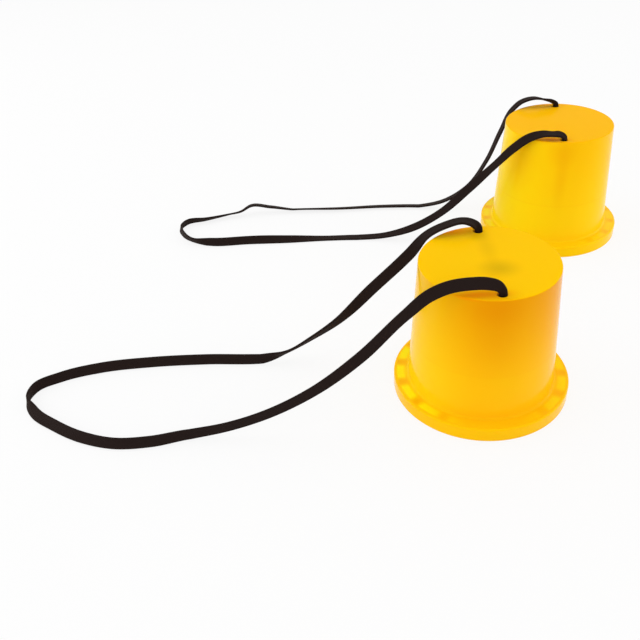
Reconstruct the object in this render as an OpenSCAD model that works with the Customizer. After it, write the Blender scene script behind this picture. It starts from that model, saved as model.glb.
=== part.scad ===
// Cup stilts: a pair of upturned moulded cups to stand on, each with a loop of woven tape to hold.
// Millimetres. +Z is up, the floor is at Z = 0 and the origin lies midway between the two cups.

/* [Cup] */
// Height of a cup, from the floor to the foot plate's upper face
cup_h = 125; // [100:1:150]
// Outer diameter of the body where it meets the brim
base_d = 125; // [118:0.5:130]
// Outer diameter of the body at the foot plate
top_d = 112.5; // [108:0.5:118]
// Thickness of the foot plate
plate_t = 4; // [3:0.5:6]
// Thickness of the wall below the stacking ledge
wall_t = 2.4; // [1.8:0.1:3]
// Height of the stacking ledge inside the wall
ledge_z = 54; // [40:1:70]
// How much thicker the wall is above the stacking ledge
ledge_w = 0.9; // [0.4:0.1:1.4]
// Rounding of the foot plate's outer edge
edge_r = 1.2; // [0.6:0.2:3]
// Rounding of the corner under the foot plate
ceiling_r = 2; // [1:0.5:3]

/* [Brim] */
// Outer diameter of the brim
brim_d = 150; // [144:1:170]
// Height of the brim's rim
brim_h = 12.5; // [9:0.5:18]
// Thickness of the brim's sheet and of its rim
brim_t = 2.4; // [1.8:0.1:3.5]
// Rounding of the brim's outer edge
brim_r = 1.6; // [0.8:0.2:2.2]
// Fillet between the body and the brim
foot_r = 2.5; // [1:0.5:4]
// Number of ribs under the brim
rib_n = 16; // [8:2:24]
// Thickness of a rib
rib_t = 2; // [1.2:0.2:3]
// How far the ribs stay above the floor
rib_lift = 1.5; // [0.5:0.5:4]
// How far the ribs reach in from the rim at their lower edge
rib_foot = 5; // [3:0.5:8]

/* [Cord holes] */
// Diameter of a cord hole
hole_d = 7.6; // [7:0.1:9]
// Distance of each cord hole from the cup's axis
hole_r = 48; // [40:0.5:48]
// Chamfer round both ends of a cord hole
mouth_c = 0.7; // [0.3:0.1:1.2]

/* [Cord] */
// Width of the flat tape
tape_w = 10; // [8:0.5:12]
// Thickness of the flat tape
tape_t = 2.2; // [1.6:0.1:3]
// Clearance between the bunched tape and its hole
bunch_gap = 0.5; // [0.3:0.1:0.8]
// Thickness of the tape where it is bunched
bunch_t = 3.6; // [3:0.1:4]
// Thickness of the tape where it is drawn tight in a knot
knot_t = 4.2; // [3.6:0.1:4.3]
// How far below the foot plate the cord's ends go straight down before the knots
knot_drop = 3; // [2:0.5:8]

/* [Pair] */
// Distance between the cups' axes, from left to right
pair_x = 130; // [0:1:300]
// Distance between the cups' axes, from front to back
pair_y = 272; // [200:1:400]
// Turn of the far cup about its own axis
far_turn = -10; // [-30:1:30]

/* [Hidden] */
$fn = 96;

// Overlap of shapes that are joined into one solid
bite = 0.5;
// Number of straight steps in each small rounding
arc_steps = 3;
brim_inner_r = brim_d / 2 - brim_t;
sheet_z = brim_h - brim_t;
body_slope = (base_d - top_d) / 2 / (cup_h - brim_h);
draft = atan(body_slope);
ceiling_z = cup_h - plate_t;
near_place = [-pair_x / 2, -pair_y / 2, 0];
far_place = [pair_x / 2, pair_y / 2, 0];

// Outer radius of the body at a height
function body_r(z) = base_d / 2 - body_slope * (z - brim_h);

// Inner radius of the body at a height
function inner_r(z) = body_r(z) - wall_t - (z > ledge_z ? ledge_w : 0);

// Centre of a rounding of radius r between a flat top at height z and a drafted wall that meets it
// at radius wall_r
function corner_centre(wall_r, z, r) = [wall_r + r * tan(draft) - r / cos(draft), z - r];

// Points along a small rounding
function arc(centre, r, from, to) =
    [for (k = [0 : arc_steps])
        let (turned = from + (to - from) * k / arc_steps)
        centre + r * [cos(turned), sin(turned)]];

// The solid outline of the body above the brim, with its fillet onto the brim
module body_outline() {
    plate_corner = corner_centre(top_d / 2, cup_h, edge_r);
    polygon([
        [0, sheet_z], [body_r(sheet_z), sheet_z], plate_corner + edge_r * [cos(draft), sin(draft)],
        plate_corner + [0, edge_r], [0, cup_h]]);
    translate(plate_corner) circle(edge_r);
    fillet_centre = [body_r(brim_h + foot_r) + foot_r / cos(draft), brim_h + foot_r];
    polygon(concat(
        [[fillet_centre[0], brim_h - bite], [base_d / 2 - bite, brim_h - bite]],
        [fillet_centre - foot_r * [cos(draft), sin(draft)] - [bite, 0]],
        arc(fillet_centre, foot_r, 180 + draft, 270)));
}

// The brim's sheet and its turned-down rim
module brim_outline() {
    corner = [brim_d / 2 - brim_r, brim_h - brim_r];
    polygon(concat(
        [[base_d / 2 - bite, sheet_z], [brim_inner_r, sheet_z], [brim_inner_r, 0], [brim_d / 2, 0]],
        arc(corner, brim_r, 0, 90),
        [[base_d / 2 - bite, brim_h]]));
}

// The hollow of the cup, narrower above the stacking ledge
module hollow_outline() {
    top_corner = corner_centre(body_r(ceiling_z) - wall_t - ledge_w, ceiling_z, ceiling_r);
    polygon(concat(
        [[0, -bite], [inner_r(-bite), -bite], [inner_r(ledge_z), ledge_z]],
        [[inner_r(ledge_z) - ledge_w, ledge_z]],
        arc(top_corner, ceiling_r, draft, 90),
        [[0, ceiling_z]]));
}

// One rib under the brim: a gusset from the foot of the body's wall down to the rim
module rib() {
    start_r = inner_r(sheet_z);
    end_r = brim_inner_r + brim_t / 2;
    top_z = sheet_z + bite;
    rotate([90, 0, 0]) linear_extrude(rib_t, center = true) polygon([
        [start_r, top_z], [start_r, sheet_z], [brim_inner_r - rib_foot, rib_lift],
        [end_r, rib_lift], [end_r, top_z]]);
}

// A cord hole through the foot plate, chamfered at both ends
module cord_hole() {
    wide_d = hole_d + 4 * mouth_c;
    translate([0, 0, ceiling_z - bite]) cylinder(d = hole_d, h = plate_t + 2 * bite);
    translate([0, 0, cup_h - mouth_c]) cylinder(d1 = hole_d, d2 = wide_d, h = 2 * mouth_c);
    translate([0, 0, ceiling_z - mouth_c]) cylinder(d1 = wide_d, d2 = hole_d, h = 2 * mouth_c);
}

// One moulded cup, its cord holes in front and behind
module cup() {
    difference() {
        union() {
            rotate_extrude() difference() {
                union() {
                    body_outline();
                    brim_outline();
                }
                hollow_outline();
            }
            for (k = [0 : rib_n - 1]) rotate((k + 0.5) * 360 / rib_n) rib();
        }
        for (side = [-1, 1]) translate([0, side * hole_r, 0]) cord_hole();
    }
}

// Cord routes. Rows of a rise are [x, y, z, tilt], from the mouth of its cord hole. Rows of a floor run
// are [x, y, lift, tilt], from the cup's axis, where lift is the clear height under the tape. Tilt turns
// the tape from lying flat, 0 or 180, to standing on its edge, 90. Past 90 it leans in over the loop.
near_front_rise = [
    [0, 0, 3, 90], [-4, 0, 7.6, 112], [-11, 0, 10, 128], [-24, 0, 10.8, 134], [-40, 0, 8.8, 130],
    [-53, 0, 3, 116], [-71, 0, -13.5, 90], [-107, -1, -52, 96], [-147, -1, -85, 88]];
near_floor_run = [
    [-187, -51, 15, 87], [-220, -52, 5, 89], [-250, -53, 0.3, 98], [-282, -59, 0.3, 115],
    [-312, -59, 0.3, 119], [-342, -49, 0.3, 132], [-370, -32, 0.3, 140], [-393, -13, 0.3, 145],
    [-403, 3, 0.3, 99], [-400, 19, 0.3, 78], [-380, 32, 0.3, 69], [-345, 42.5, 0.3, 62],
    [-300, 46.5, 0.3, 62], [-246, 46, 0.3, 64], [-194, 42, 0.3, 79]];
near_back_rise = [
    [-169, -5, -113, 140], [-146, -4, -100, 133], [-123, -4, -83.5, 114], [-90, -4, -49.5, 62],
    [-58, -4, -16.5, 55], [-42, -3.5, 2.2, 8], [-29, -3, 8.5, 2], [-13, -1.5, 11, 5],
    [-4.5, -0.5, 7.5, 30], [0, 0, 3, 90]];
far_front_rise = [
    [0, 0, 3, 140], [-4.5, 0, 6, 160], [-11, 0.5, 6.4, 170], [-22, 2.5, 6.4, 160], [-34, 5.5, 2, 140],
    [-48, 9.5, -10, 138], [-65, 13, -29, 152], [-91, 18, -58, 132], [-119, 22, -87, 150],
    [-149, 27, -107, 152]];
far_floor_run = [
    [-189, -13, 4, 173], [-223, -7.5, 0.3, 177], [-261, -5, 0.3, 178], [-303, -6, 0.3, 148],
    [-349, -5.5, 0.3, 112], [-391, -5, 0.3, 108], [-413, 1, 0.3, 62], [-430, 21, 0.3, 92],
    [-434, 36, 0.3, 108], [-427, 49, 0.3, 116], [-407, 54, 0.3, 134], [-378, 64, 1, 151],
    [-363, 66, 3.4, 158], [-350, 71, 8.7, 166], [-326, 71, 5.5, 166], [-298, 69, 0.3, 155],
    [-240, 65, 0.3, 160], [-184, 64.5, 0.3, 166], [-140, 60, 0.5, 168]];
far_back_rise = [
    [-118, 6, -113, 172], [-92, 6, -96, 178], [-72, 6, -65, 184], [-58.5, 4, -28.5, 186],
    [-48, 2, -2.5, 186], [-39, 2, 6, 184], [-25, 1.5, 10, 175], [-12, 0.5, 8, 160],
    [-4.5, 0, 6, 150], [0, 0, 3, 140]];

// How far the tape has opened out to its full width at each of its first points
opening = [0, 0.1, 0.6, 0.9];

// Overhand knots. Each is a trefoil hung in the upright plane across the cord hole, cut open at its top.
// Mean radius of the trefoil, and how far its strands swing in and out about it
knot_ring_r = 5.6;
knot_tube_r = 2.7;
// Angle left open on each side of the cut, and the number of points round the rest
knot_cut = 18;
knot_steps = 26;
// How far the knot's first stretch goes straight down, and the height of the trefoil's middle
knot_lead = 2.5;
knot_z = -10.8;

// Tails, from the cord's end under its hole: [across, towards the cup's axis, z]
hanging_tail = [
    [-2.6, 6, -4.7], [-2, 9.6, -8.5], [-2, 10.6, -17], [-1, 10, -31], [1, 9, -45], [2, 8.6, -53]];
reaching_tail = [
    [-2.6, 6, -4.7], [-2, 12, -6], [-0.5, 22, -7.5], [1, 34, -7.5], [2.2, 46, -6], [3, 57, -3.6]];

function unit(v) = v / norm(v);
function tangent(path, i) = unit(path[min(i + 1, len(path) - 1)] - path[max(i - 1, 0)]);
function place(row) = [row[0], row[1], row[2]];

// A cup's cord hole, at the foot plate's upper face: side -1 is in front and 1 behind
function hole_mouth(turn, side) = [-side * hole_r * sin(turn), side * hole_r * cos(turn), cup_h];

// Height of the middle of the tape when its lower edge touches the floor at a tilt
function half_rise(tilt) = tape_w / 2 * abs(sin(tilt)) + tape_t / 2 * abs(cos(tilt));

// All rows of a cord, from the knot under its front hole to the knot under its back hole
function cord_rows(turn, front_rise, floor_run, back_rise) =
    let (front = hole_mouth(turn, -1), back = hole_mouth(turn, 1), knot_start = -plate_t - knot_drop)
    concat(
        [[front[0], front[1], cup_h + knot_start, front_rise[0][3]]],
        [for (p = front_rise) concat(front + place(p), p[3])],
        [for (p = floor_run) [p[0], p[1], p[2] + half_rise(p[3]), p[3]]],
        [for (p = back_rise) concat(back + place(p), p[3])],
        [[back[0], back[1], cup_h + knot_start, back_rise[len(back_rise) - 1][3]]]);

// Directions of the tape's width along a cord's rows
function cord_widths(rows) =
    let (path = [for (p = rows) place(p)], reach = 3, last = len(rows) - 1)
    [for (i = [0 : last])
        let (
            run = path[min(i + reach, last)] - path[max(i - reach, 0)],
            along = tangent(path, i),
            level = cross([0, 0, 1], run),
            side = unit(level - along * (along * level)))
        side * cos(rows[i][3]) + cross(along, side) * sin(rows[i][3])];

// Half width and half thickness of the tape at a cord's rows, bunched at both ends
function cord_sizes(count) =
    [for (i = [0 : count - 1])
        let (from_end = min(i, count - 1 - i), open = from_end < len(opening) ? opening[from_end] : 1)
        [
            (hole_d / 2 - bunch_gap) * (1 - open) + tape_w / 2 * open,
            bunch_t / 2 * (1 - open) + tape_t / 2 * open]];

// One tube along a path, eight-sided, with the width's direction and the half sizes at each ring
module tape(path, widths, sizes) {
    corner = 0.58;
    sides = 8;
    rings = len(path);
    points = [for (i = [0 : rings - 1])
        let (
            along = tangent(path, i),
            wide = unit(widths[i] - along * (along * widths[i])),
            deep = cross(along, wide),
            w = sizes[i][0],
            t = sizes[i][1],
            cut_w = w - corner * t,
            cut_t = t - corner * t,
            outline = [
                [w, cut_t], [cut_w, t], [-cut_w, t], [-w, cut_t],
                [-w, -cut_t], [-cut_w, -t], [cut_w, -t], [w, -cut_t]])
        for (q = outline) path[i] + wide * q[0] + deep * q[1]];
    walls = [for (i = [0 : rings - 2], j = [0 : sides - 1])
        let (a = i * sides + j, b = i * sides + (j + 1) % sides)
        each [[a, a + sides, b + sides], [a, b + sides, b]]];
    last = (rings - 1) * sides;
    caps = [for (j = [1 : sides - 2]) each [[0, j, j + 1], [last, last + j + 1, last + j]]];
    polyhedron(points, concat(walls, caps));
}

// The rows of each cord, from its cup's axis
near_rows = cord_rows(0, near_front_rise, near_floor_run, near_back_rise);
far_rows = cord_rows(far_turn, far_front_rise, far_floor_run, far_back_rise);

module cord(rows) {
    tape([for (p = rows) place(p)], cord_widths(rows), cord_sizes(len(rows)));
}

// Points round the trefoil, from one side of its cut to the other: [across, towards the cup's axis, z]
function knot_loop(steps) =
    [for (k = [0 : steps - 1])
        let (
            turned = knot_cut + (360 - 2 * knot_cut) * k / (steps - 1),
            r = knot_ring_r + knot_tube_r * cos(3 * turned))
        [r * cos(2 * turned + 90), -knot_tube_r * sin(3 * turned), knot_z + r * sin(2 * turned + 90)]];

// Least gap between the knot's strands, measured on points at least a sixth of the loop apart
fine_loop = knot_loop(120);
strand_gap = min([for (i = [0 : 99], j = [i + 20 : 119]) norm(fine_loop[i] - fine_loop[j])]) - knot_t;
echo(strand_gap = strand_gap);

// The path of a knot and its tail, from the cord's end under the hole on a side of the cup
function knot_path(turn, side, tail) =
    let (
        top = hole_mouth(turn, side) - [0, 0, plate_t + knot_drop],
        inward = -side * [-sin(turn), cos(turn), 0],
        across = cross([0, 0, 1], inward),
        up = [0, 0, 1])
    concat(
        [top, top - up * knot_lead],
        [for (p = concat(knot_loop(knot_steps), tail)) top + across * p[0] + inward * p[1] + up * p[2]]);

// A width's direction carried along a path from its start, then rolled evenly so that it ends
// in the finish direction
function carried(path, start, finish) =
    let (
        last = len(path) - 1,
        along = [for (i = [0 : last]) tangent(path, i)],
        bare = [for (
            i = 0, w = unit(start - along[0] * (along[0] * start));
            i <= last;
            i = i + 1,
            w = i <= last ? unit(w - along[i] * (along[i] * w)) : w) w],
        miss = atan2(cross(bare[last], finish) * along[last], bare[last] * finish))
    [for (i = [0 : last])
        bare[i] * cos(miss * i / last) + cross(along[i], bare[i]) * sin(miss * i / last)];

module knot(turn, side, tail, rows) {
    path = knot_path(turn, side, tail);
    cord_end = side < 0 ? 0 : len(rows) - 1;
    across = [cos(turn), sin(turn), 0];
    first_tail = len(path) - len(tail);
    sizes = [for (i = [0 : len(path) - 1])
        i == 0 ? cord_sizes(len(rows))[0]
        : i < first_tail ? [knot_t / 2, knot_t / 2]
        : let (open = min(1, (i - first_tail + 1) / 3))
            [knot_t / 2 * (1 - open) + tape_w / 2 * open, knot_t / 2 * (1 - open) + tape_t / 2 * open]];
    tape(path, carried(path, cord_widths(rows)[cord_end], across), sizes);
}

module near_cup() {
    color("gold") translate(near_place) cup();
}

module far_cup() {
    color("gold") translate(far_place) rotate(far_turn) cup();
}

module near_cord() {
    color("#221c1a") translate(near_place) cord(near_rows);
}

module far_cord() {
    color("#221c1a") translate(far_place) cord(far_rows);
}

module near_front_knot() {
    color("#221c1a") translate(near_place) knot(0, -1, hanging_tail, near_rows);
}

module near_back_knot() {
    color("#221c1a") translate(near_place) knot(0, 1, reaching_tail, near_rows);
}

module far_front_knot() {
    color("#221c1a") translate(far_place) knot(far_turn, -1, hanging_tail, far_rows);
}

module far_back_knot() {
    color("#221c1a") translate(far_place) knot(far_turn, 1, hanging_tail, far_rows);
}

near_cup();
near_cord();
near_front_knot();
near_back_knot();
far_cup();
far_cord();
far_front_knot();
far_back_knot();
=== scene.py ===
"""Looks of the cup stilts: two glossy yellow mouldings, each with a loop of black woven tape to hold."""
import math

import bmesh
import bpy
import numpy as np
from mathutils import Matrix, Vector


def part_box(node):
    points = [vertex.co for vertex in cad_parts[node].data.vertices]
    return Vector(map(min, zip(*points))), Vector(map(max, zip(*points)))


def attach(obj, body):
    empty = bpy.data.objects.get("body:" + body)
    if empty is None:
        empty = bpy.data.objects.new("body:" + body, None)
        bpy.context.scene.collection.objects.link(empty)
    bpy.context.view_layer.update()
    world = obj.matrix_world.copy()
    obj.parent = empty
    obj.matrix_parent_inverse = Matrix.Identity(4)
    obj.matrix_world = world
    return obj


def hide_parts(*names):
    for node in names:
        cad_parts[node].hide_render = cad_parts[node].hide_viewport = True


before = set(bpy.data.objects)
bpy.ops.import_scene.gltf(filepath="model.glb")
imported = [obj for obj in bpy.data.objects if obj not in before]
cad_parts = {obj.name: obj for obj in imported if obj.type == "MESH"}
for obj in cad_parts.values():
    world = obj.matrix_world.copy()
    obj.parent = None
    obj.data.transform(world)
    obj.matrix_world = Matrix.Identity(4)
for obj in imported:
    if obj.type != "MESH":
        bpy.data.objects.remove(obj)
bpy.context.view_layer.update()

# One millimetre, in metres
MM = 0.001


def axis_of(node):
    """The upright axis of a cup, as a point on the floor."""
    low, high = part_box(node)
    middle = (low + high) / 2
    return Vector((middle.x, middle.y, 0))


near_low, near_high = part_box("near_cup")
NEAR_AXIS = axis_of("near_cup")
FAR_AXIS = axis_of("far_cup")
FAR_TURN = math.radians(-10)

# The moulding
CUP_H = near_high.z
BRIM_R = (near_high.x - near_low.x) / 2
BASE_R = 62.5 * MM
TOP_R = 56.25 * MM
PLATE_T = 4 * MM
WALL_T = 2.4 * MM
LEDGE_Z = 54 * MM
LEDGE_W = 0.9 * MM
EDGE_R = 1.2 * MM
CEILING_R = 2 * MM
BRIM_H = 12.5 * MM
BRIM_T = 2.4 * MM
BRIM_EDGE_R = 1.6 * MM
FOOT_R = 2.5 * MM
LIP_R = 0.5 * MM
RIB_N = 16
RIB_T = 2 * MM
RIB_LIFT = 1.5 * MM
RIB_FOOT = 5 * MM
RIB_R = 0.4 * MM
HOLE_R = 48 * MM
HOLE_D = 7.6 * MM
MOUTH_R = 0.9 * MM

# The tape
TAPE_W = 10 * MM
TAPE_T = 2.2 * MM
BUNCH_W = 6.6 * MM
BUNCH_T = 3.6 * MM
KNOT_T = 4.2 * MM
KNOT_DROP = 3 * MM
FLOOR_GAP = 0.3 * MM

# Edges over these angles in degrees are sharp
TAPE_SHARP = 50
CUP_SHARP = 14
ALL_SMOOTH = 180

# The camera, where the photograph was taken from
CAMERA_PLACE = Vector((-191.778, -646.83, 445.075)) * MM
CAMERA_YAW = math.radians(-1.139)
CAMERA_PITCH = math.radians(35.813)
CAMERA_ROLL = math.radians(-3.942)
CAMERA_LENS = 42.621


def photo_camera():
    """The camera at the photograph's viewing angle."""
    camera = bpy.data.objects.new("photo_camera", bpy.data.cameras.new("photo_camera"))
    camera.data.lens = CAMERA_LENS
    camera.matrix_world = (
        Matrix.Translation(CAMERA_PLACE)
        @ Matrix.Rotation(-CAMERA_YAW, 4, "Z")
        @ Matrix.Rotation(math.pi / 2 - CAMERA_PITCH, 4, "X")
        @ Matrix.Rotation(CAMERA_ROLL, 4, "Z"))
    bpy.context.scene.collection.objects.link(camera)
    bpy.context.scene.camera = camera


photo_camera()


# Cord routes. Rows of a rise are [x, y, z, tilt] from the mouth of its cord hole, rows of a floor run
# [x, y, lift, tilt] from the cup's axis, where lift is the clear height under the tape. Tilt turns the
# tape from lying flat, 0 or 180, to standing on its edge, 90.
NEAR_FRONT_RISE = [
    [0, 0, 3, 90], [-4, 0, 7.6, 112], [-11, 0, 10, 128], [-24, 0, 10.8, 134], [-40, 0, 8.8, 130],
    [-53, 0, 3, 116], [-71, 0, -13.5, 90], [-107, -1, -52, 96], [-147, -1, -85, 88]]
NEAR_FLOOR_RUN = [
    [-187, -51, 15, 87], [-220, -52, 5, 89], [-250, -53, 0.3, 98], [-282, -59, 0.3, 115],
    [-312, -59, 0.3, 119], [-342, -49, 0.3, 132], [-370, -32, 0.3, 140], [-393, -13, 0.3, 145],
    [-403, 3, 0.3, 99], [-400, 19, 0.3, 78], [-380, 32, 0.3, 69], [-345, 42.5, 0.3, 62],
    [-300, 46.5, 0.3, 62], [-246, 46, 0.3, 64], [-194, 42, 0.3, 79]]
NEAR_BACK_RISE = [
    [-169, -5, -113, 140], [-146, -4, -100, 133], [-123, -4, -83.5, 114], [-90, -4, -49.5, 62],
    [-58, -4, -16.5, 55], [-42, -3.5, 2.2, 8], [-29, -3, 8.5, 2], [-13, -1.5, 11, 5],
    [-4.5, -0.5, 7.5, 30], [0, 0, 3, 90]]
FAR_FRONT_RISE = [
    [0, 0, 3, 140], [-4.5, 0, 6, 160], [-11, 0.5, 6.4, 170], [-22, 2.5, 6.4, 160], [-34, 5.5, 2, 140],
    [-48, 9.5, -10, 138], [-65, 13, -29, 152], [-91, 18, -58, 132], [-119, 22, -87, 150],
    [-149, 27, -107, 152]]
FAR_FLOOR_RUN = [
    [-189, -13, 4, 173], [-223, -7.5, 0.3, 177], [-261, -5, 0.3, 178], [-303, -6, 0.3, 148],
    [-349, -5.5, 0.3, 112], [-391, -5, 0.3, 108], [-413, 1, 0.3, 62], [-430, 21, 0.3, 92],
    [-434, 36, 0.3, 108], [-427, 49, 0.3, 116], [-407, 54, 0.3, 134], [-378, 64, 1, 151],
    [-363, 66, 3.4, 158], [-350, 71, 8.7, 166], [-326, 71, 5.5, 166], [-298, 69, 0.3, 155],
    [-240, 65, 0.3, 160], [-184, 64.5, 0.3, 166], [-140, 60, 0.5, 168]]
FAR_BACK_RISE = [
    [-118, 6, -113, 172], [-92, 6, -96, 178], [-72, 6, -65, 184], [-58.5, 4, -28.5, 186],
    [-48, 2, -2.5, 186], [-39, 2, 6, 184], [-25, 1.5, 10, 175], [-12, 0.5, 8, 160],
    [-4.5, 0, 6, 150], [0, 0, 3, 140]]

# Tails of the knots, from the cord's end under its hole: [across, towards the cup's axis, z]
HANGING_TAIL = [
    [-2.6, 6, -5.7], [-2, 9.6, -8.9], [-2, 10.6, -17], [-1, 10, -31], [1, 9, -45], [2, 8.6, -53]]
REACHING_TAIL = [
    [-2.6, 6, -4.7], [-2, 12, -6], [-0.5, 22, -7.5], [1, 34, -7.5], [2.2, 46, -6], [3, 57, -3.6]]

# How far the tape has opened out to its full width at each of its first points
OPENING = [0, 0.1, 0.6, 0.9]
RING_SPACING = 1.2 * MM
WIDTH_WINDOW = 3
UP = np.array([0.0, 0.0, 1.0])


def unit(v):
    """The vectors of an array at length 1."""
    return v / np.linalg.norm(v, axis=-1, keepdims=True)


def square_to(v, along):
    """The part of each vector that is square to a direction, at length 1."""
    return unit(v - along * (v * along).sum(-1, keepdims=True))


def tangents(points):
    """The directions along a line of points."""
    ahead = np.concatenate([points[1:], points[-1:]])
    behind = np.concatenate([points[:1], points[:-1]])
    return unit(ahead - behind)


def smooth_rows(rows, spacing):
    """Rows about a spacing apart on a smooth curve through the given rows, whose first three are a point."""
    gaps = np.linalg.norm(np.diff(rows[:, :3], axis=0), axis=1)
    slopes = np.gradient(rows, np.concatenate([[0], np.cumsum(gaps)]), axis=0)
    fine = []
    for i, gap in enumerate(gaps):
        count = max(2, math.ceil(gap / spacing))
        u = np.arange(count)[:, None] / count
        fine.append(
            rows[i] * (1 + 2 * u) * (1 - u) ** 2 + slopes[i] * gap * u * (1 - u) ** 2
            + rows[i + 1] * u ** 2 * (3 - 2 * u) + slopes[i + 1] * gap * u ** 2 * (u - 1))
    return np.concatenate(fine + [rows[-1:]])


def hole_mouth(axis, turn, side):
    """The middle of a cord hole at the plate's upper face: side -1 is in front and 1 behind."""
    return axis + Vector((-side * HOLE_R * math.sin(turn), side * HOLE_R * math.cos(turn), CUP_H))


def half_rise(tilt):
    """Height of the tape's middle when its lower edge touches the floor."""
    return TAPE_W / 2 * abs(math.sin(tilt)) + TAPE_T / 2 * abs(math.cos(tilt))


def cord_points(axis, turn, front_rise, floor_run, back_rise):
    """The points and tilts of a cord's route, from one knot to the other."""
    front = hole_mouth(axis, turn, -1)
    back = hole_mouth(axis, turn, 1)
    below = Vector((0, 0, -PLATE_T - KNOT_DROP))
    points = [front + below]
    tilts = [front_rise[0][3]]
    for row in front_rise:
        points.append(front + Vector(row[:3]) * MM)
        tilts.append(row[3])
    for x, y, lift, tilt in floor_run:
        points.append(axis + Vector((x, y, lift)) * MM + Vector((0, 0, half_rise(math.radians(tilt)))))
        tilts.append(tilt)
    for row in back_rise:
        points.append(back + Vector(row[:3]) * MM)
        tilts.append(row[3])
    points.append(back + below)
    tilts.append(back_rise[-1][3])
    return np.array(points), np.radians(tilts)


def cord_rows(points, tilts):
    """Fine rows of a cord: its points, the tape's width directions, and its half width and thickness."""
    last = len(points) - 1
    order = np.arange(last + 1)
    run = points[np.minimum(order + WIDTH_WINDOW, last)] - points[np.maximum(order - WIDTH_WINDOW, 0)]
    along = tangents(points)
    side = square_to(np.cross(UP, run), along)
    wide = side * np.cos(tilts)[:, None] + np.cross(along, side) * np.sin(tilts)[:, None]
    from_end = np.minimum(order, last - order)
    opened = np.interp(from_end, range(len(OPENING) + 1), OPENING + [1])[:, None]
    sizes = np.array([[BUNCH_W, BUNCH_T]]) / 2 * (1 - opened) + np.array([[TAPE_W, TAPE_T]]) / 2 * opened
    fine = smooth_rows(np.concatenate([points, wide, sizes], axis=1), RING_SPACING)
    along = tangents(fine[:, :3])
    fine[:, 3:6] = square_to(fine[:, 3:6], along)
    deep = np.cross(along, fine[:, 3:6])
    reach = np.abs(fine[:, 5]) * fine[:, 6] + np.abs(deep[:, 2]) * fine[:, 7]
    fine[:, 2] = np.maximum(fine[:, 2], reach + FLOOR_GAP)
    return fine


# The tape's section: points along each flat face and round each edge
FACE_STEPS = 12
EDGE_STEPS = 6
FACE_DIP = 0.14
LEAST_FLAT = 1e-9


def tape_section(half_w, half_t):
    """Points round a flat braid's section: rounded edges and faces that dip in the middle."""
    flat = max(half_w - half_t, 0)
    across = np.linspace(flat, -flat, FACE_STEPS, endpoint=False)
    round_edge = np.linspace(math.pi / 2, 3 * math.pi / 2, EDGE_STEPS, endpoint=False)
    dip = 1 - FACE_DIP * flat / half_w * (1 - (across / max(flat, LEAST_FLAT)) ** 2)
    upper = np.stack([across, half_t * dip], axis=1)
    edge = np.stack([half_t * np.cos(round_edge) - flat, half_t * np.sin(round_edge)], axis=1)
    half = np.concatenate([upper, edge])
    return np.concatenate([half, -half])


def woven_tape(name, rows, material):
    """A flat braid swept along fine rows, with a UV map in lengths of its own girth."""
    points, wide = rows[:, :3], rows[:, 3:6]
    deep = np.cross(tangents(points), wide)
    travelled = np.concatenate([[0], np.cumsum(np.linalg.norm(np.diff(points, axis=0), axis=1))])
    girth = 2 * (TAPE_W - TAPE_T) + math.pi * TAPE_T
    mesh = bmesh.new()
    layer = mesh.loops.layers.uv.new("weave")
    rings = []
    for point, w, d, (half_w, half_t) in zip(points, wide, deep, rows[:, 6:8]):
        section = tape_section(half_w, half_t)
        rings.append([mesh.verts.new(point + w * a + d * b) for a, b in section])
    sides = len(rings[0])
    for i in range(len(rings) - 1):
        for j in range(sides):
            k = (j + 1) % sides
            face = mesh.faces.new((rings[i][j], rings[i][k], rings[i + 1][k], rings[i + 1][j]))
            spots = ((i, j), (i, j + 1), (i + 1, j + 1), (i + 1, j))
            for loop, (ring, spot) in zip(face.loops, spots):
                loop[layer].uv = (travelled[ring] / girth, spot / sides)
    for ring in (rings[0], rings[-1]):
        mesh.faces.new(ring)
    bmesh.ops.recalc_face_normals(mesh, faces=mesh.faces)
    return finished(name, mesh, material, TAPE_SHARP)


def finished(name, mesh, material, sharp_angle):
    """An object of a bmesh, smooth but for edges over an angle in degrees."""
    data = bpy.data.meshes.new(name)
    mesh.to_mesh(data)
    mesh.free()
    data.shade_smooth()
    data.set_sharp_from_angle(angle=math.radians(sharp_angle))
    data.materials.append(material)
    piece = bpy.data.objects.new(name, data)
    bpy.context.scene.collection.objects.link(piece)
    return piece


# The knots: a trefoil hung in the upright plane across its hole, in millimetres
KNOT_RING_R = 5.6
KNOT_TUBE_R = 2.7
KNOT_CUT = math.radians(18)
KNOT_STEPS = 26
KNOT_LEAD = 2.5
KNOT_Z = -10.8
KNOT_SPACING = 0.6 * MM
KNOT_LOBES = 3
TAIL_OPENS_IN = 3


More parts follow.
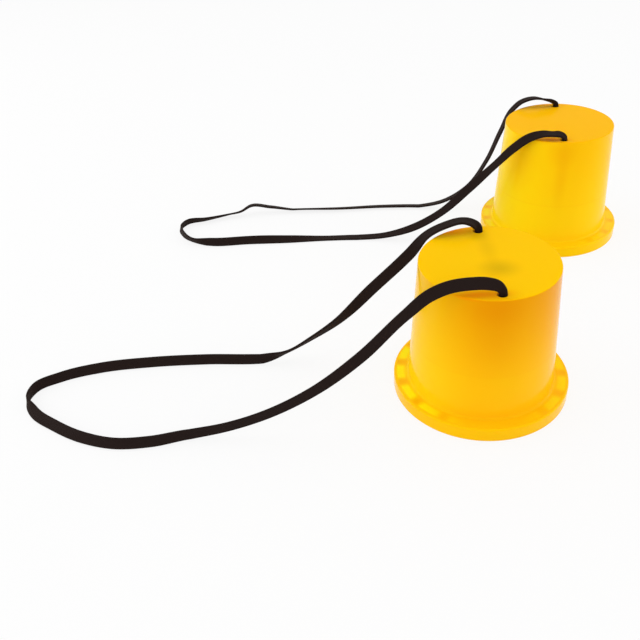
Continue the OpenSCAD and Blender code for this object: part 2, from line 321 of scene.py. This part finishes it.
def knot_rows(axis, turn, side, tail, cord_wide):
    """Fine rows of a stopper knot and its tail, from the cord's end under the hole on a side."""
    top = np.array(hole_mouth(axis, turn, side)) - UP * (PLATE_T + KNOT_DROP)
    inward = -side * np.array([-math.sin(turn), math.cos(turn), 0])
    across = np.cross(UP, inward)
    turned = np.linspace(KNOT_CUT, 2 * math.pi - KNOT_CUT, KNOT_STEPS)
    r = KNOT_RING_R + KNOT_TUBE_R * np.cos(KNOT_LOBES * turned)
    loop = np.stack([
        r * np.cos(2 * turned + math.pi / 2), -KNOT_TUBE_R * np.sin(KNOT_LOBES * turned),
        KNOT_Z + r * np.sin(2 * turned + math.pi / 2)], axis=1)
    local = np.concatenate([[[0, 0, 0], [0, 0, -KNOT_LEAD]], loop, tail]) * MM
    points = top + local[:, :1] * across + local[:, 1:2] * inward + local[:, 2:] * UP
    first_tail = len(points) - len(tail)
    opened = np.clip((np.arange(len(points)) - first_tail + 1) / TAIL_OPENS_IN, 0, 1)[:, None]
    sizes = KNOT_T / 2 * (1 - opened) + np.array([[TAPE_W, TAPE_T]]) / 2 * opened
    sizes[0] = BUNCH_W / 2, BUNCH_T / 2
    fine = smooth_rows(np.concatenate([points, sizes], axis=1), KNOT_SPACING)
    wide = carried(fine[:, :3], cord_wide, np.array([math.cos(turn), math.sin(turn), 0]))
    return np.concatenate([fine[:, :3], wide, fine[:, 3:]], axis=1)


def carried(points, start, finish):
    """A width's direction carried along a line, rolled evenly so that it ends in the finish direction."""
    along = tangents(points)
    wide = [square_to(start, along[0])]
    for direction in along[1:]:
        wide.append(square_to(wide[-1], direction))
    wide = np.array(wide)
    miss = math.atan2(np.cross(wide[-1], finish) @ along[-1], wide[-1] @ finish)
    roll = np.linspace(0, miss, len(points))[:, None]
    return wide * np.cos(roll) + np.cross(along, wide) * np.sin(roll)


class Finish:
    """A material that is built node by node."""

    def __init__(self, name):
        self.material = bpy.data.materials.new(name)
        self.material.use_nodes = True
        self.tree = self.material.node_tree
        self.shader = self.tree.nodes["Principled BSDF"]

    def node(self, kind, **inputs):
        """A node of a kind, with inputs by name as numbers, colours or other nodes' outputs."""
        made = self.tree.nodes.new(kind)
        for name, value in inputs.items():
            self.feed(made.inputs[name], value)
        return made

    def feed(self, socket, value):
        """A socket set to a number or colour, or linked to another node's output."""
        if isinstance(value, bpy.types.NodeSocket):
            self.tree.links.new(value, socket)
        else:
            socket.default_value = value

    def math(self, operation, *values):
        """One arithmetic step."""
        made = self.tree.nodes.new("ShaderNodeMath")
        made.operation = operation
        for socket, value in zip(made.inputs, values):
            self.feed(socket, value)
        return made.outputs[0]

    def fade(self, value, start, end):
        """0 before start, 1 after end and smooth between them; start may be above end."""
        made = self.node("ShaderNodeMapRange", Value=value)
        made.interpolation_type = "SMOOTHSTEP"
        low, high = min(start, end), max(start, end)
        made.inputs["From Min"].default_value = low
        made.inputs["From Max"].default_value = high
        made.inputs["To Min"].default_value = 0 if start < end else 1
        made.inputs["To Max"].default_value = 1 if start < end else 0
        return made.outputs["Result"]

    def product(self, *values):
        """Several masks multiplied."""
        result = values[0]
        for value in values[1:]:
            result = self.math("MULTIPLY", result, value)
        return result

    def over(self, below, colour, mask):
        """A colour laid over another by a mask."""
        made = self.tree.nodes.new("ShaderNodeMix")
        made.data_type = "RGBA"
        self.feed(made.inputs[0], mask)
        self.feed(made.inputs[6], below)
        self.feed(made.inputs[7], (*colour, 1) if isinstance(colour, tuple) else colour)
        return made.outputs[2]


# The braid: strands each way round the tape's girth
STRANDS = 16
TAPE_DARK = (0.0095, 0.0048, 0.0040)
TAPE_LIGHT = (0.024, 0.0135, 0.0110)
TAPE_ROUGHNESS = 0.78
TAPE_SHINE = 0.08
TAPE_SHEEN = 0.05
TAPE_SHEEN_ROUGHNESS = 0.4
TAPE_SHEEN_TINT = (0.75, 0.55, 0.45, 1)
STRAND_BUMP = 0.7
STRAND_RISE = 0.25 * MM
FUZZ_SCALE = 60.0
FUZZ_DETAIL = 6.0
FUZZ_ROUGHNESS = 0.7
FUZZ_RELIEF = 0.35
FUZZ_TONE = 0.2
BOW_PEAK = 4


def black_weave():
    """Black woven tape: two sets of strands that cross over and under each other, with fuzz."""
    f = Finish("black_weave")
    uv = f.node("ShaderNodeUVMap")
    uv.uv_map = "weave"
    split = f.node("ShaderNodeSeparateXYZ", Vector=uv.outputs[0])
    along = f.math("MULTIPLY", split.outputs["X"], STRANDS)
    round_it = f.math("MULTIPLY", split.outputs["Y"], STRANDS)
    first = f.math("ADD", round_it, along)
    second = f.math("SUBTRACT", round_it, along)
    bows = []
    for strand in (first, second):
        place = f.math("FRACT", strand)
        left = f.math("SUBTRACT", 1, place)
        bows.append(f.math("MULTIPLY", f.math("MULTIPLY", place, left), BOW_PEAK))
    cells = f.math("ADD", f.math("FLOOR", first), f.math("FLOOR", second))
    upper = f.math("PINGPONG", cells, 1)
    heights = []
    for bow, other in (bows, bows[::-1]):
        heights.append(f.math("MULTIPLY", bow, f.math("SQRT", other)))
    lower = f.math("SUBTRACT", 1, upper)
    height = f.math(
        "ADD", f.math("MULTIPLY", heights[0], upper), f.math("MULTIPLY", heights[1], lower))
    fuzz = f.node(
        "ShaderNodeTexNoise", Vector=uv.outputs[0], Scale=FUZZ_SCALE, Detail=FUZZ_DETAIL,
        Roughness=FUZZ_ROUGHNESS)
    tone = f.math("MULTIPLY", height, f.math("ADD", fuzz.outputs[0], FUZZ_TONE))
    colour = f.over((*TAPE_DARK, 1), TAPE_LIGHT, tone)
    f.feed(f.shader.inputs["Base Color"], colour)
    relief = f.math("ADD", height, f.math("MULTIPLY", fuzz.outputs[0], FUZZ_RELIEF))
    bump = f.node("ShaderNodeBump", Height=relief, Strength=STRAND_BUMP, Distance=STRAND_RISE)
    f.feed(f.shader.inputs["Normal"], bump.outputs[0])
    f.shader.inputs["Roughness"].default_value = TAPE_ROUGHNESS
    f.shader.inputs["Specular IOR Level"].default_value = TAPE_SHINE
    f.shader.inputs["Sheen Weight"].default_value = TAPE_SHEEN
    f.shader.inputs["Sheen Roughness"].default_value = TAPE_SHEEN_ROUGHNESS
    f.shader.inputs["Sheen Tint"].default_value = TAPE_SHEEN_TINT
    return f.material


# The moulding's shape
SPIN_STEPS = 256
LONG_RUN = 3 * MM
SUPPORT = 0.6 * MM
ROUND_STEPS = 9
SMALL_STEPS = 8
RIB_STEPS = 3
MERGE_GAP = 0.001 * MM
CUT_OVER = 2 * MM
MOUTH_TURN = 75
SLOPE = (BASE_R - TOP_R) / (CUP_H - BRIM_H)
DRAFT = math.degrees(math.atan(SLOPE))
SHEET_Z = BRIM_H - BRIM_T
CEILING_Z = CUP_H - PLATE_T
RIM_INNER_R = BRIM_R - BRIM_T


def body_r(z):
    """Outer radius of the body at a height."""
    return BASE_R - SLOPE * (z - BRIM_H)


def inner_r(z):
    """Inner radius of the body at a height."""
    return body_r(z) - WALL_T - (LEDGE_W if z > LEDGE_Z else 0)


def arc(centre, radius, start, end, steps):
    """Points (radius, height) along an arc between two angles in degrees."""
    turns = np.radians(np.linspace(start, end, steps + 1))
    return [(centre[0] + radius * math.cos(a), centre[1] + radius * math.sin(a)) for a in turns]


def corner_centre(wall_r, z, r):
    """Centre of a rounding between a flat top at a height and the drafted wall that meets it."""
    slant = math.radians(DRAFT)
    return wall_r + r * math.tan(slant) - r / math.cos(slant), z - r


def cup_outline():
    """The moulding's section, from the middle of the plate round the brim to the middle of the ceiling."""
    foot = (body_r(BRIM_H + FOOT_R) + FOOT_R / math.cos(math.radians(DRAFT)), BRIM_H + FOOT_R)
    brim_corner = (BRIM_R - BRIM_EDGE_R, BRIM_H - BRIM_EDGE_R)
    under = SHEET_Z - LIP_R
    ledge_r = inner_r(LEDGE_Z)
    outline = [(0, CUP_H)]
    outline += arc(corner_centre(TOP_R, CUP_H, EDGE_R), EDGE_R, 90, DRAFT, ROUND_STEPS)
    outline += arc(foot, FOOT_R, 180 + DRAFT, 270, ROUND_STEPS)
    outline += arc(brim_corner, BRIM_EDGE_R, 90, 0, ROUND_STEPS)
    outline += arc((BRIM_R - LIP_R, LIP_R), LIP_R, 0, -90, SMALL_STEPS)
    outline += arc((RIM_INNER_R + LIP_R, LIP_R), LIP_R, -90, -180, SMALL_STEPS)
    outline += arc((RIM_INNER_R - LIP_R, under), LIP_R, 0, 90, SMALL_STEPS)
    outline += arc((inner_r(SHEET_Z) + LIP_R, SHEET_Z + LIP_R), LIP_R, 270, 180 - DRAFT, SMALL_STEPS)
    outline += [(ledge_r, LEDGE_Z), (ledge_r - LEDGE_W, LEDGE_Z)]
    outline += arc(
        corner_centre(body_r(CEILING_Z) - WALL_T - LEDGE_W, CEILING_Z, CEILING_R),
        CEILING_R, DRAFT, 90, ROUND_STEPS)
    return outline + [(0, CEILING_Z)]


def supported(outline):
    """The outline with a point near both ends of each long straight run, so that the run shades straight."""
    full = [Vector(outline[0])]
    for a, b in zip(map(Vector, outline), map(Vector, outline[1:])):
        run = b - a
        if run.length > LONG_RUN:
            full += [a + run * (SUPPORT / run.length), b - run * (SUPPORT / run.length)]
        full.append(b)
    return full


def spun(outline):
    """A solid of revolution from the points of a section that starts and ends on the axis."""
    mesh = bmesh.new()
    corners = [mesh.verts.new((r, 0, z)) for r, z in outline]
    edges = [mesh.edges.new(pair) for pair in zip(corners, corners[1:])]
    bmesh.ops.spin(
        mesh, geom=corners + edges, cent=(0, 0, 0), axis=(0, 0, 1), angle=2 * math.pi,
        steps=SPIN_STEPS, use_merge=True)
    bmesh.ops.remove_doubles(mesh, verts=mesh.verts, dist=MERGE_GAP)
    bmesh.ops.recalc_face_normals(mesh, faces=mesh.faces)
    return mesh


def ribs():
    """The ring of gussets under the brim, from the foot of the wall down to the rim."""
    mesh = bmesh.new()
    end_r = RIM_INNER_R + BRIM_T / 2
    top_z = SHEET_Z + BRIM_T / 2
    start_r = inner_r(SHEET_Z) + LIP_R
    outline = [
        (start_r, top_z), (start_r, SHEET_Z), (RIM_INNER_R - RIB_FOOT, RIB_LIFT), (end_r, RIB_LIFT),
        (end_r, top_z)]
    for k in range(RIB_N):
        corners = [mesh.verts.new((r, -RIB_T / 2, z)) for r, z in outline]
        face = mesh.faces.new(corners)
        made = bmesh.ops.extrude_face_region(mesh, geom=[face])["geom"]
        moved = [v for v in made if isinstance(v, bmesh.types.BMVert)]
        bmesh.ops.translate(mesh, vec=(0, RIB_T, 0), verts=moved)
        spare = [v.link_edges for v in corners[1:4] + moved[1:4]]
        low = {e for edges in spare for e in edges if max(v.co.z for v in e.verts) < top_z}
        long_low = [e for e in low if abs(e.verts[0].co.y - e.verts[1].co.y) < RIB_T / 2]
        rounded = bmesh.ops.bevel(
            mesh, geom=long_low, offset=RIB_R, affect="EDGES", segments=RIB_STEPS, profile=0.5,
            material=-1)
        everything = set(rounded["verts"]) | {v for v in corners + moved if v.is_valid}
        turn = Matrix.Rotation((k + 0.5) * 2 * math.pi / RIB_N, 3, "Z")
        bmesh.ops.rotate(mesh, cent=(0, 0, 0), matrix=turn, verts=list(everything))
    bmesh.ops.recalc_face_normals(mesh, faces=mesh.faces)
    return mesh


def hole_cutter():
    """What is cut away for the two cord holes: round bars that flare at both faces of the plate."""
    bar_r = HOLE_D / 2
    top = arc((bar_r + MOUTH_R, CUP_H - MOUTH_R), MOUTH_R, 180 - MOUTH_TURN, 180, SMALL_STEPS)
    low = arc((bar_r + MOUTH_R, CEILING_Z + MOUTH_R), MOUTH_R, 180, 180 + MOUTH_TURN, SMALL_STEPS)
    outline = [(0, CUP_H + CUT_OVER), (top[0][0], CUP_H + CUT_OVER)] + top + low
    outline += [(low[-1][0], CEILING_Z - CUT_OVER), (0, CEILING_Z - CUT_OVER)]
    mesh = bmesh.new()
    for side in (-1, 1):
        bar = spun(outline)
        bmesh.ops.translate(bar, vec=(0, side * HOLE_R, 0), verts=bar.verts)
        part = bpy.data.meshes.new("hole_bar")
        bar.to_mesh(part)
        bar.free()
        mesh.from_mesh(part)
        bpy.data.meshes.remove(part)
    return mesh


def cup_mesh():
    """One moulding about its own axis: the spun shell with its ribs joined and its cord holes cut."""
    blank = bpy.data.materials.new("blank")
    shell = finished("cup_blank", spun(supported(cup_outline())), blank, ALL_SMOOTH)
    tools = [
        (finished("rib_blank", ribs(), blank, ALL_SMOOTH), "UNION"),
        (finished("hole_blank", hole_cutter(), blank, ALL_SMOOTH), "DIFFERENCE")]
    for tool, operation in tools:
        step = shell.modifiers.new(tool.name, "BOOLEAN")
        step.operation = operation
        step.object = tool
        step.solver = "EXACT"
    whole = bpy.data.meshes.new_from_object(shell.evaluated_get(bpy.context.evaluated_depsgraph_get()))
    for piece in [shell] + [tool for tool, _ in tools]:
        bpy.data.objects.remove(piece)
    whole.materials.clear()
    return whole


def moulded_cup(name, whole, axis, turn, material):
    """A cup of the pair, set down at its place."""
    mesh = bmesh.new()
    mesh.from_mesh(whole)
    mesh.transform(Matrix.Translation(axis) @ Matrix.Rotation(turn, 4, "Z"))
    return finished(name, mesh, material, CUP_SHARP)


# The plastic, its colour painted with light and shade: its colour on the plate, high and low on the wall and
# on the brim, painted lighter or more orange by how light falls on each cup, how much painted glow its left
# side and the pockets between the ribs have, and the painted shades of what lies behind it
NEAR_HUES = {
    "plate": (0.98, 0.555, 0.002), "high": (0.82, 0.325, 0.001), "low": (1.0, 0.51, 0.004),
    "brim": (1.0, 0.55, 0.003), "lit_from": -15 * MM, "lit_to": -65 * MM, "lit": 0.5,
    "pocket": 0.95}
FAR_HUES = {
    "plate": (0.98, 0.49, 0.002), "high": (0.97, 0.53, 0.003), "low": (1.0, 0.62, 0.005),
    "brim": (1.0, 0.61, 0.003), "lit_from": 20 * MM, "lit_to": -50 * MM, "lit": 0.75,
    "pocket": 0.6}
# Painted glow: lemon colour laid where light comes through the plastic, on the lit left side and on the thin
# wall
GLOW = (1.0, 0.72, 0.004)
# Painted glow in the pockets between the ribs under the brim
POCKET_GLOW = (1.0, 0.86, 0.004)
# Painted shade: the darker bands beside the ribs under the brim and the line at the ledge
RIB_SHADE = (0.93, 0.46, 0.002)
# Painted shades of the knots and of the tails seen through the plastic
KNOT_SHADE = (0.75, 0.22, 0.001)
TAIL_SHADE = (0.60, 0.35, 0.003)
# Painted shadow and reflection of the tape on the plate under its arches
CORD_SHADE = (0.98, 0.27, 0.001)
# Painted tint of the tape's shadow on the far wall, more orange
TAPE_SHADOW_TINT = (1.0, 0.55, 0.004)
# How far the painted shade bands and pocket glow lie behind the ribs that they stand for, towards +y
RIB_SHIFT = 4 * MM
RIB_PITCH = 2 * math.pi / RIB_N

# Where each painted hue, glow and shade of the plastic fades in: where there is none of it, and where it is
# full
WALL_FADE = (30 * MM, 140 * MM)
THIN_WALL_TOP = (LEDGE_Z + 0.6 * MM, LEDGE_Z - 0.6 * MM)
THIN_WALL_FOOT = (BRIM_H, BRIM_H + 8 * MM)
THIN_WALL_GLOW = 0.06
LEDGE_LINE_BELOW = (LEDGE_Z - 1.2 * MM, LEDGE_Z)
LEDGE_LINE_ABOVE = (LEDGE_Z + 1.8 * MM, LEDGE_Z)
LEDGE_LINE_SHARE = 0.12
PLATE_FADE = (CUP_H - 1 * MM, CUP_H - 0.2 * MM)
BRIM_FADE_Z = (BRIM_H + 2 * MM, BRIM_H)
BRIM_FADE_R = (BASE_R, BASE_R + 3 * MM)
LEFT_FADE = (-20 * MM, -62 * MM)
RIGHT_FADE = (15 * MM, 62 * MM)
RIGHT_SHARE = 0.6
SHEET_INNER = (BASE_R + 0.5 * MM, BASE_R + 5 * MM)
SHEET_OUTER = (BRIM_R - 1.2 * MM, BRIM_R - 3.6 * MM)
SHEET_TOP = (BRIM_H + 1.5 * MM, BRIM_H + 0.5 * MM)
SHEET_LOW = (BRIM_H - 3.5 * MM, BRIM_H - 2.6 * MM)
POCKET_FADE = (1 * MM, 8 * MM)
BAND_FADE = (6 * MM, 0)
BAND_INNER = (BASE_R + 1 * MM, BRIM_R - 4 * MM)
BAND_SHARE = 0.7

# The plastic's gloss, cloudiness and fine grain
CLOUD_SCALE = 18.0
CLOUD_DETAIL = 3.0
GRAIN_SCALE = 900.0
GRAIN_DETAIL = 2.0
GRAIN_BUMP = 0.03
GRAIN_RISE = 0.1 * MM
LEAST_ROUGHNESS = 0.11
CLOUD_ROUGHNESS = 0.1
PLASTIC_IOR = 1.47
WALL_SHINE = 0.1
PLATE_SHINE_LOSS = 0.09
SHINE_TINT = (1.0, 0.8, 0.0, 1)
SCATTER_WEIGHT = 0.15
SCATTER_RADIUS = (1.0, 0.35, 0.03)
SCATTER_SCALE = 3 * MM


def yellow_plastic(name, axis, turn, hues, shades):
    """Glossy translucent plastic whose colour holds painted light and shade: painted shades of the ribs,
    knots, tails and tape, and a painted glow on its left side, between the ribs and where the wall is thin.
    """
    f = Finish(name)
    where = f.node("ShaderNodeTexCoord").outputs["Object"]
    local = f.node("ShaderNodeMapping", Vector=where)
    local.vector_type = "TEXTURE"
    local.inputs["Location"].default_value = axis
    local.inputs["Rotation"].default_value = (0, 0, turn)
    spot = local.outputs[0]
    split = f.node("ShaderNodeSeparateXYZ", Vector=spot)
    x, y, z = (split.outputs[i] for i in range(3))
    r = f.math("SQRT", f.math("ADD", f.math("MULTIPLY", x, x), f.math("MULTIPLY", y, y)))
    # The painted rib pattern is set back behind the ribs, towards +y
    set_back = f.math("SUBTRACT", y, RIB_SHIFT)
    ribs_round = f.math("DIVIDE", f.math("ARCTAN2", set_back, x), RIB_PITCH)
    off_rib = f.math("PINGPONG", f.math("SUBTRACT", ribs_round, 0.5), 0.5)
    from_rib = f.product(off_rib, r, RIB_PITCH)

    cloud = f.node("ShaderNodeTexNoise", Vector=spot, Scale=CLOUD_SCALE, Detail=CLOUD_DETAIL)
    grain = f.node("ShaderNodeTexNoise", Vector=spot, Scale=GRAIN_SCALE, Detail=GRAIN_DETAIL)
    # The wall painted more orange high up and more lemon low down, a painted shade and glow
    colour = f.over((*hues["low"], 1), hues["high"], f.fade(z, *WALL_FADE))
    # Painted glow, lighter and more lemon towards the lit left side
    lit_side = f.fade(x, hues["lit_from"], hues["lit_to"])
    colour = f.over(colour, GLOW, f.math("MULTIPLY", lit_side, hues["lit"]))
    # Painted glow on the thin wall below the ledge
    thin_wall = f.product(f.fade(z, *THIN_WALL_TOP), f.fade(z, *THIN_WALL_FOOT), THIN_WALL_GLOW)
    colour = f.over(colour, GLOW, thin_wall)
    # A painted shade line where the ledge inside the wall shows through it
    ledge_line = f.product(f.fade(z, *LEDGE_LINE_BELOW), f.fade(z, *LEDGE_LINE_ABOVE), LEDGE_LINE_SHARE)
    colour = f.over(colour, RIB_SHADE, ledge_line)

    # The plate and the brim painted in their own hues, for how light falls on them
    on_plate = f.fade(z, *PLATE_FADE)
    colour = f.over(colour, hues["plate"], on_plate)
    below_wall = f.product(f.fade(z, *BRIM_FADE_Z), f.fade(r, *BRIM_FADE_R))
    colour = f.over(colour, hues["brim"], below_wall)
    # The painted glow and shade bands of the brim are strongest on its left and right sides, where it is lit
    left = f.fade(x, *LEFT_FADE)
    right = f.math("MULTIPLY", f.fade(x, *RIGHT_FADE), RIGHT_SHARE)
    beside = f.math("ADD", left, right)
    on_brim = f.product(
        f.fade(r, *SHEET_INNER), f.fade(r, *SHEET_OUTER), f.fade(z, *SHEET_TOP), f.fade(z, *SHEET_LOW))
    # Painted glow between the ribs, where light comes through the sheet of the brim
    pocket = f.product(on_brim, beside, f.fade(from_rib, *POCKET_FADE), hues["pocket"])
    colour = f.over(colour, POCKET_GLOW, pocket)
    # Painted shade bands beside the ribs
    rib_band = f.product(
        on_brim, beside, f.fade(from_rib, *BAND_FADE), f.fade(r, *BAND_INNER), BAND_SHARE)
    colour = f.over(colour, RIB_SHADE, rib_band)

    # Painted shades: soft spots for the knots, tails and tape
    for middle, radii, shade, strength in shades:
        offset = f.node("ShaderNodeVectorMath")
        offset.operation = "SUBTRACT"
        f.feed(offset.inputs[0], spot)
        offset.inputs[1].default_value = Vector(middle) * MM
        scaled = f.node("ShaderNodeVectorMath")
        scaled.operation = "DIVIDE"
        f.feed(scaled.inputs[0], offset.outputs[0])
        scaled.inputs[1].default_value = Vector(radii) * MM
        length = f.node("ShaderNodeVectorMath")
        length.operation = "LENGTH"
        f.feed(length.inputs[0], scaled.outputs[0])
        near_middle = f.fade(length.outputs["Value"], 1, 0)
        colour = f.over(colour, shade, f.math("MULTIPLY", near_middle, strength))

    f.feed(f.shader.inputs["Base Color"], colour)
    rough = f.math("ADD", LEAST_ROUGHNESS, f.math("MULTIPLY", cloud.outputs[0], CLOUD_ROUGHNESS))
    f.feed(f.shader.inputs["Roughness"], rough)
    bump = f.node("ShaderNodeBump", Height=grain.outputs[0], Strength=GRAIN_BUMP, Distance=GRAIN_RISE)
    f.feed(f.shader.inputs["Normal"], bump.outputs[0])
    f.shader.inputs["IOR"].default_value = PLASTIC_IOR
    shine = f.math("SUBTRACT", WALL_SHINE, f.math("MULTIPLY", on_plate, PLATE_SHINE_LOSS))
    f.feed(f.shader.inputs["Specular IOR Level"], shine)
    f.shader.inputs["Specular Tint"].default_value = SHINE_TINT
    f.shader.inputs["Subsurface Weight"].default_value = SCATTER_WEIGHT
    f.shader.inputs["Subsurface Radius"].default_value = SCATTER_RADIUS
    f.shader.inputs["Subsurface Scale"].default_value = SCATTER_SCALE
    return f.material


# Soft painted shades of the knots and tails behind the plastic and painted shadows and reflections of the
# tape before it: middle, radii, colour and strength, in millimetres from a cup's axis, with the cord holes
# on its y axis
FRONT_KNOT_SHADES = [
    ((-6, -57, 118), (32, 18, 22), KNOT_SHADE, 0.3),
    ((-3, -56, 95), (24, 16, 55), KNOT_SHADE, 0.2)]
FAR_FRONT_SHADES = [
    ((0, -57, 114), (20, 16, 22), KNOT_SHADE, 0.2),
    ((1, -55, 84), (10, 14, 52), KNOT_SHADE, 0.2)]
BACK_KNOT_SHADES = [
    ((0, 55, 113), (22, 14, 26), KNOT_SHADE, 0.45)]
BACK_TAIL_SHADES = [
    ((-1, 53, 84), (12, 12, 46), KNOT_SHADE, 0.25)]
PLATE_TAIL_SHADES = [
    ((5, -12, 125), (22, 18, 5), TAIL_SHADE, 0.6),
    ((2, 20, 125), (11, 36, 5), TAIL_SHADE, 0.25),
    ((-2, 41, 125), (13, 14, 5), TAIL_SHADE, 0.55)]
NEAR_CORD_SHADES = [
    ((-18, -47, 125), (38, 9, 4), CORD_SHADE, 0.9),
    ((-24, 50, 125), (32, 11, 4), CORD_SHADE, 0.9)]
FAR_CORD_SHADES = [
    ((-12, -48, 125), (26, 9, 4), CORD_SHADE, 0.9),
    ((-16, 54, 125), (26, 7, 4), CORD_SHADE, 0.5),
    ((-43, -40, 104), (30, 30, 50), TAPE_SHADOW_TINT, 0.85)]

# Light and floor
WORLD_LEVEL = 0.8
FLOOR_SIZE = 6
FLOOR_WHITE = 0.85
FLOOR_ROUGHNESS = 0.9
BACKGROUND_SHARE = 0.85

# Each lamp: its name, place and size in metres, and power in watts
LAMPS = [
    ("top_softbox", (-0.3, 0.4, 1.7), 1.6, 2),
    ("left_softbox", (-1.7, 0.2, 0.7), 1.8, 10.5),
    ("right_softbox", (1.7, 0, 0.6), 1.2, 8),
    ("front_softbox", (-0.3, -1.9, 0.8), 1.4, 6)]


def shown_rays(tree):
    """A value that is 1 for rays that show the background: camera, glossy and transmission rays."""
    path = tree.nodes.new("ShaderNodeLightPath")
    total = path.outputs["Is Camera Ray"]
    for name in ("Is Glossy Ray", "Is Transmission Ray"):
        step = tree.nodes.new("ShaderNodeMath")
        step.operation = "MAXIMUM"
        tree.links.new(total, step.inputs[0])
        tree.links.new(path.outputs[name], step.inputs[1])
        total = step.outputs[0]
    return total


def studio_world():
    """An even white surround, seen as white."""
    world = bpy.data.worlds.new("studio")
    bpy.context.scene.world = world
    world.use_nodes = True
    tree = world.node_tree
    background = tree.nodes["Background"]
    background.inputs["Color"].default_value = (1, 1, 1, 1)
    level = tree.nodes.new("ShaderNodeMapRange")
    tree.links.new(shown_rays(tree), level.inputs["Value"])
    level.inputs["To Min"].default_value = WORLD_LEVEL
    level.inputs["To Max"].default_value = 1
    tree.links.new(level.outputs[0], background.inputs["Strength"])


def pale_floor():
    """A plain white floor that keeps a faint shadow."""
    mesh = bmesh.new()
    bmesh.ops.create_grid(mesh, x_segments=1, y_segments=1, size=FLOOR_SIZE / 2)
    material = bpy.data.materials.new("pale_floor")
    material.use_nodes = True
    tree = material.node_tree
    paint = tree.nodes["Principled BSDF"]
    paint.inputs["Base Color"].default_value = (FLOOR_WHITE, FLOOR_WHITE, FLOOR_WHITE, 1)
    paint.inputs["Roughness"].default_value = FLOOR_ROUGHNESS
    white = tree.nodes.new("ShaderNodeEmission")
    share = tree.nodes.new("ShaderNodeMath")
    share.operation = "MULTIPLY"
    share.inputs[1].default_value = BACKGROUND_SHARE
    tree.links.new(shown_rays(tree), share.inputs[0])
    mix = tree.nodes.new("ShaderNodeMixShader")
    tree.links.new(share.outputs[0], mix.inputs[0])
    tree.links.new(paint.outputs[0], mix.inputs[1])
    tree.links.new(white.outputs[0], mix.inputs[2])
    tree.links.new(mix.outputs[0], tree.nodes["Material Output"].inputs["Surface"])
    finished("floor", mesh, material, ALL_SMOOTH)


def softboxes():
    """Square soft lamps, turned to the middle of the pair."""
    aim = Vector((0, 0, CUP_H / 2))
    for name, place, size, power in LAMPS:
        lamp = bpy.data.lights.new(name, "AREA")
        lamp.size = size
        lamp.energy = power
        holder = bpy.data.objects.new(name, lamp)
        holder.location = place
        holder.rotation_euler = (aim - Vector(place)).to_track_quat("-Z", "Y").to_euler()
        bpy.context.scene.collection.objects.link(holder)


# Each stilt: its name, axis, turn, route, tails of its front and back knots, and its plastic's painted hues
# and painted shades
STILTS = [
    ("near", NEAR_AXIS, 0, (NEAR_FRONT_RISE, NEAR_FLOOR_RUN, NEAR_BACK_RISE),
     (HANGING_TAIL, REACHING_TAIL), NEAR_HUES,
     FRONT_KNOT_SHADES + BACK_KNOT_SHADES + PLATE_TAIL_SHADES + NEAR_CORD_SHADES),
    ("far", FAR_AXIS, FAR_TURN, (FAR_FRONT_RISE, FAR_FLOOR_RUN, FAR_BACK_RISE),
     (HANGING_TAIL, HANGING_TAIL), FAR_HUES,
     FAR_FRONT_SHADES + BACK_KNOT_SHADES + BACK_TAIL_SHADES + FAR_CORD_SHADES)]


def stilt(name, axis, turn, route, tails, hues, shades, tape, whole):
    """One stilt: its cord and knots, and the cup that they are in."""
    loop = name + "_loop"
    rows = cord_rows(*cord_points(axis, turn, *route))
    cord = woven_tape(name + "_tape", rows, tape)
    for end, side, tail, wide in (("front", -1, tails[0], rows[0]), ("back", 1, tails[1], rows[-1])):
        knot = woven_tape(f"{name}_{end}_stopper", knot_rows(axis, turn, side, tail, wide[3:6]), tape)
        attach(knot, loop)
        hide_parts(f"{name}_{end}_knot")
    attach(cord, loop)
    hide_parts(name + "_cord")
    plastic = yellow_plastic(name + "_yellow_plastic", axis, turn, hues, shades)
    cup = moulded_cup(name + "_moulding", whole, axis, turn, plastic)
    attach(cup, "cups")
    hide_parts(name + "_cup")


tape_finish = black_weave()
cup_shape = cup_mesh()
for each in STILTS:
    stilt(*each, tape_finish, cup_shape)
bpy.data.meshes.remove(cup_shape)

studio_world()
pale_floor()
softboxes()
bpy.context.scene.view_settings.view_transform = "Standard"
